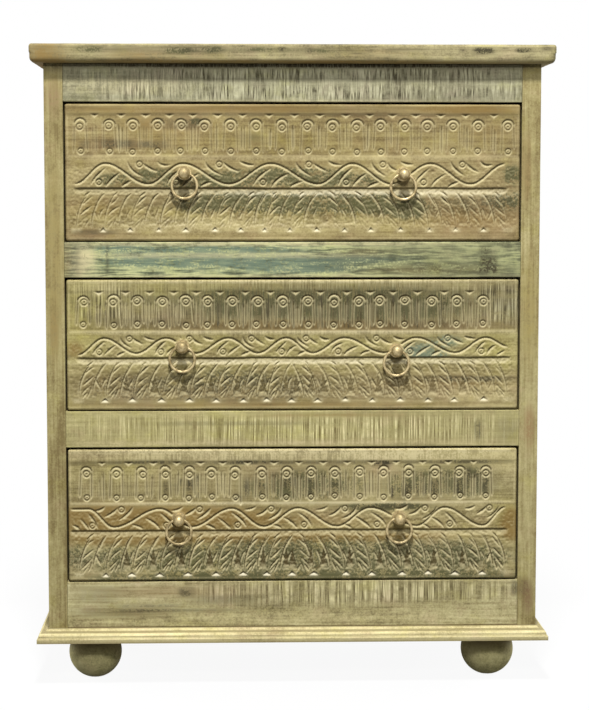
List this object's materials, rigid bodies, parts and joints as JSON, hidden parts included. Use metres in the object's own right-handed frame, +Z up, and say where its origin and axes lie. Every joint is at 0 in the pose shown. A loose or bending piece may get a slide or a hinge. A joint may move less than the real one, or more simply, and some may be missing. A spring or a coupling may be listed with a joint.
{
  "type": "carved chest of drawers",
  "caption": "Carved wooden chest of drawers with stacked inset drawers, brass ring pulls, an overhanging slab top, a moulded base and turned bun feet.",
  "frame": {"origin": "on the floor under the middle of the top slab", "axes": "+Z up, front of the chest towards -Y, +X to the right as seen from the front"},
  "size_m": [0.894, 0.439, 1.106],
  "materials": {
    "washed_wood": "worn olive and teal wash rubbed back to bare wood",
    "plain_wood": "bare sawn wood, unfinished",
    "antique_brass": "dull aged brass",
    "steel_fasteners": "plain zinc-grey steel"
  },
  "bodies": {
    "case": {"top_slab": "washed_wood", "left_side": "washed_wood", "right_side": "washed_wood", "back_panel": "plain_wood", "base_board": "plain_wood", "frieze_rail": "washed_wood", "upper_rail": "washed_wood", "lower_rail": "washed_wood", "bottom_rail": "washed_wood", "back_rail": "plain_wood", "moulding_front": "washed_wood", "moulding_left": "washed_wood", "moulding_right": "washed_wood", "foot_front_left": "washed_wood", "foot_front_right": "washed_wood", "foot_back_left": "washed_wood", "foot_back_right": "washed_wood", "upper_runners": "plain_wood", "middle_runners": "plain_wood", "lower_runners": "plain_wood", "kicker_strips": "plain_wood", "drawer_stops": "plain_wood", "top_cleats": "plain_wood", "runner_screws": "steel_fasteners", "top_screws": "steel_fasteners", "back_nails": "steel_fasteners"},
    "upper_drawer": {"upper_face": "washed_wood", "upper_box_front": "plain_wood", "upper_box_back": "plain_wood", "upper_box_left": "plain_wood", "upper_box_right": "plain_wood", "upper_box_bottom": "plain_wood", "upper_pull_left": "antique_brass", "upper_pull_right": "antique_brass", "upper_pull_nuts": "steel_fasteners"},
    "upper_left_ring": {"upper_ring_left": "antique_brass"},
    "upper_right_ring": {"upper_ring_right": "antique_brass"},
    "middle_drawer": {"middle_face": "washed_wood", "middle_box_front": "plain_wood", "middle_box_back": "plain_wood", "middle_box_left": "plain_wood", "middle_box_right": "plain_wood", "middle_box_bottom": "plain_wood", "middle_pull_left": "antique_brass", "middle_pull_right": "antique_brass", "middle_pull_nuts": "steel_fasteners"},
    "middle_left_ring": {"middle_ring_left": "antique_brass"},
    "middle_right_ring": {"middle_ring_right": "antique_brass"},
    "lower_drawer": {"lower_face": "washed_wood", "lower_box_front": "plain_wood", "lower_box_back": "plain_wood", "lower_box_left": "plain_wood", "lower_box_right": "plain_wood", "lower_box_bottom": "plain_wood", "lower_pull_left": "antique_brass", "lower_pull_right": "antique_brass", "lower_pull_nuts": "steel_fasteners"},
    "lower_left_ring": {"lower_ring_left": "antique_brass"},
    "lower_right_ring": {"lower_ring_right": "antique_brass"}
  },
  "joints": [
    {"name": "upper_drawer_slide", "type": "slide", "parent": "case", "child": "upper_drawer", "axis": [0, -1, 0], "range_m": [0, 0.28]},
    {"name": "upper_left_ring_swing", "type": "hinge", "parent": "upper_drawer", "child": "upper_left_ring", "pos_m": [-0.186, -0.2005, 0.88825], "axis": [-1, 0, 0], "range_deg": [-5, 175]},
    {"name": "upper_right_ring_swing", "type": "hinge", "parent": "upper_drawer", "child": "upper_right_ring", "pos_m": [0.188, -0.2005, 0.88675], "axis": [-1, 0, 0], "range_deg": [-5, 175]},
    {"name": "middle_drawer_slide", "type": "slide", "parent": "case", "child": "middle_drawer", "axis": [0, -1, 0], "range_m": [0, 0.28]},
    {"name": "middle_left_ring_swing", "type": "hinge", "parent": "middle_drawer", "child": "middle_left_ring", "pos_m": [-0.191, -0.2005, 0.59175], "axis": [-1, 0, 0], "range_deg": [-5, 175]},
    {"name": "middle_right_ring_swing", "type": "hinge", "parent": "middle_drawer", "child": "middle_right_ring", "pos_m": [0.1775, -0.2005, 0.58425], "axis": [-1, 0, 0], "range_deg": [-5, 175]},
    {"name": "lower_drawer_slide", "type": "slide", "parent": "case", "child": "lower_drawer", "axis": [0, -1, 0], "range_m": [0, 0.28]},
    {"name": "lower_left_ring_swing", "type": "hinge", "parent": "lower_drawer", "child": "lower_left_ring", "pos_m": [-0.198, -0.2005, 0.29225], "axis": [-1, 0, 0], "range_deg": [-5, 175]},
    {"name": "lower_right_ring_swing", "type": "hinge", "parent": "lower_drawer", "child": "lower_right_ring", "pos_m": [0.184, -0.2005, 0.29275], "axis": [-1, 0, 0], "range_deg": [-5, 175]}
  ]
}
